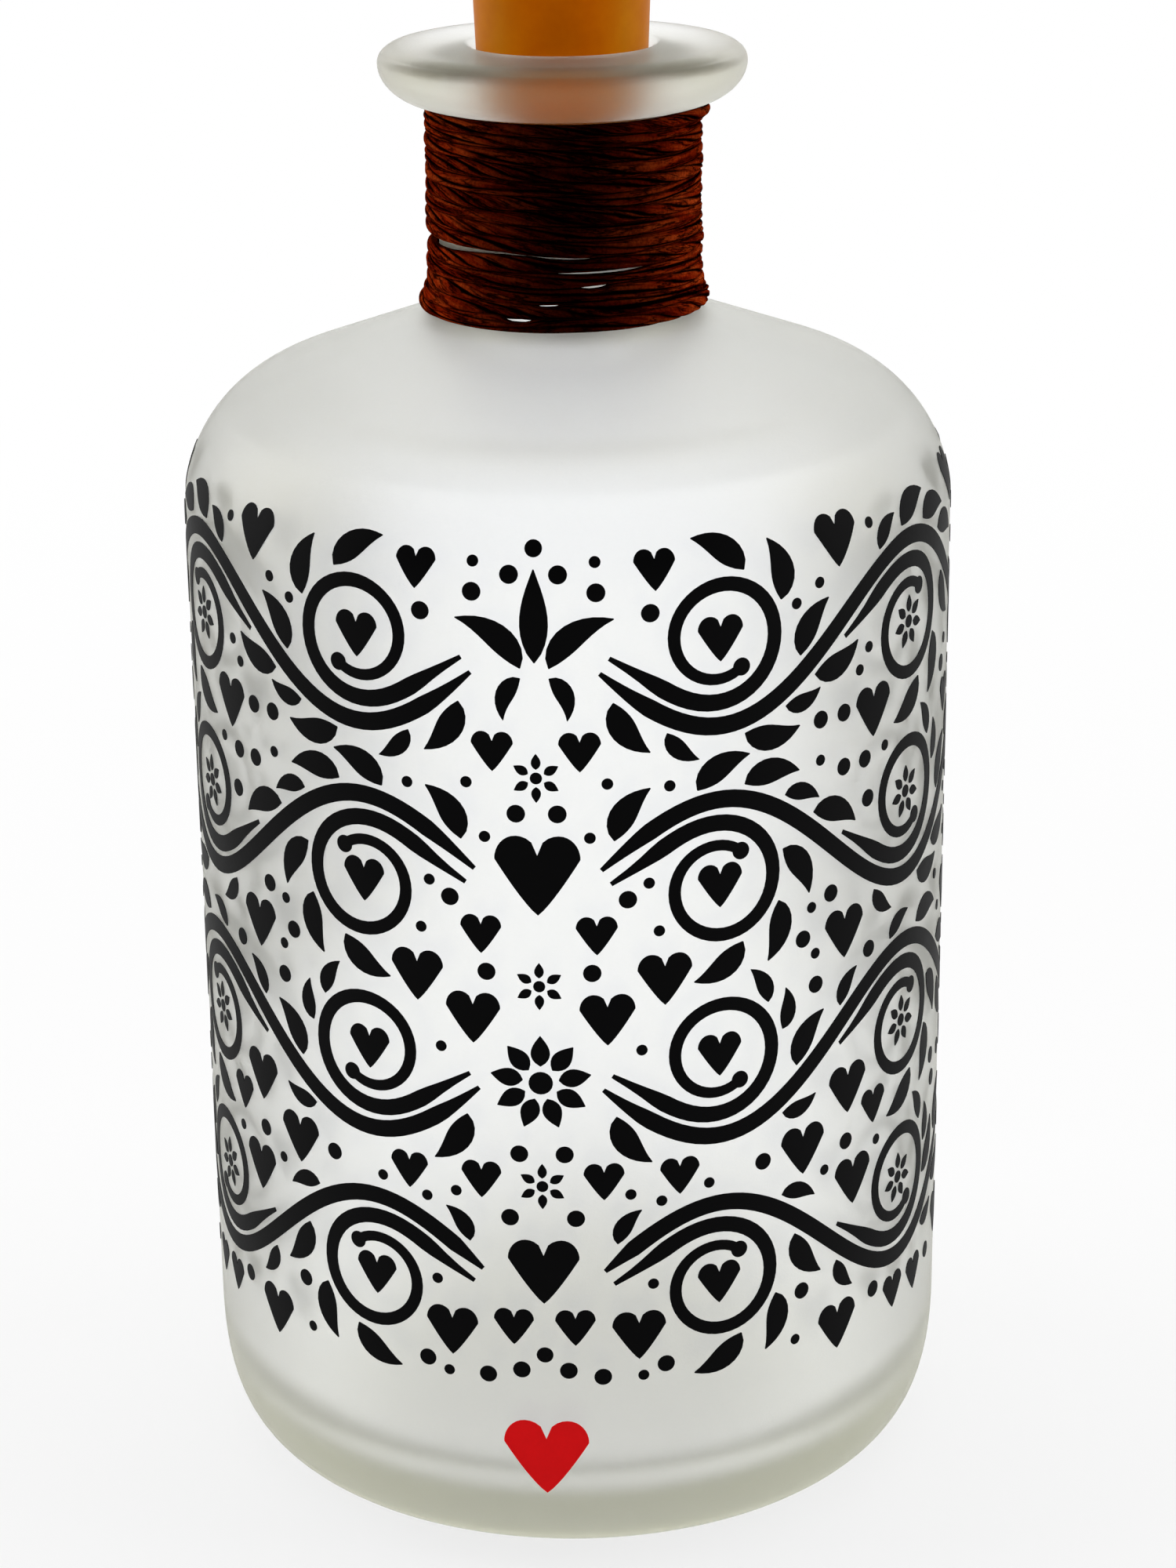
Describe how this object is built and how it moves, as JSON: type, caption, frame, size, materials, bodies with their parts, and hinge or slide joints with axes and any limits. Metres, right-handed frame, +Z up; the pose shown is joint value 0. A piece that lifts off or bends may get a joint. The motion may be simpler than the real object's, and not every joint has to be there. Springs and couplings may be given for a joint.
{
  "type": "decorative bottle",
  "caption": "Frosted apothecary bottle with a cord-wound neck and flared lip, closed by a cork-shaped bottle lamp whose battery cartridge and switch come out of its top.",
  "frame": {"origin": "centre of the ring that the bottle stands on, at the height of the table", "axes": "+Z up along the bottle's axis, the decorated front faces -Y, +X to its right"},
  "size_m": [0.0834, 0.0834, 0.189],
  "materials": {
    "frosted_glass": "satin-etched outside, smooth inside",
    "paper_cord": "twisted brown paper",
    "cork_plastic": "orange-brown, satin moulded",
    "clear_plastic": "clear",
    "black_plastic": "fine matt",
    "board": "solder mask on laminate",
    "steel": "plain nickel-plated",
    "brass": "bright pressed sheet",
    "diode": "clear epoxy, warm tint",
    "resistor": "dull"
  },
  "bodies": {
    "bottle": {"glass_bottle": "frosted_glass", "neck_winding": "paper_cord"},
    "stopper": {"stopper_housing": "cork_plastic", "light_window": "clear_plastic", "lamp_led": "diode", "circuit_board": "board", "led_resistor": "resistor", "negative_spring": "steel", "board_terminal": "brass"},
    "cartridge": {"cell_cradle": "black_plastic", "positive_contact": "brass", "conductor_strip": "brass", "battery_cap": "cork_plastic", "button_cell_1": "steel", "button_cell_2": "steel", "button_cell_3": "steel", "switch_board": "board", "switch_base": "resistor", "switch_can": "steel", "switch_terminal_1": "brass", "switch_terminal_2": "brass", "switch_terminal_3": "brass"},
    "slider": {"switch_slider": "black_plastic", "switch_contact": "brass"}
  },
  "joints": [
    {"name": "stopper_pull", "type": "slide", "parent": "bottle", "child": "stopper", "axis": [0, 0, 1], "range_m": [0, 0.03]},
    {"name": "cartridge_pull", "type": "slide", "parent": "stopper", "child": "cartridge", "axis": [0, 0, 1], "range_m": [0, 0.032]},
    {"name": "switch_slide", "type": "slide", "parent": "cartridge", "child": "slider", "axis": [1, 0, 0], "range_m": [0, 0.002]}
  ]
}
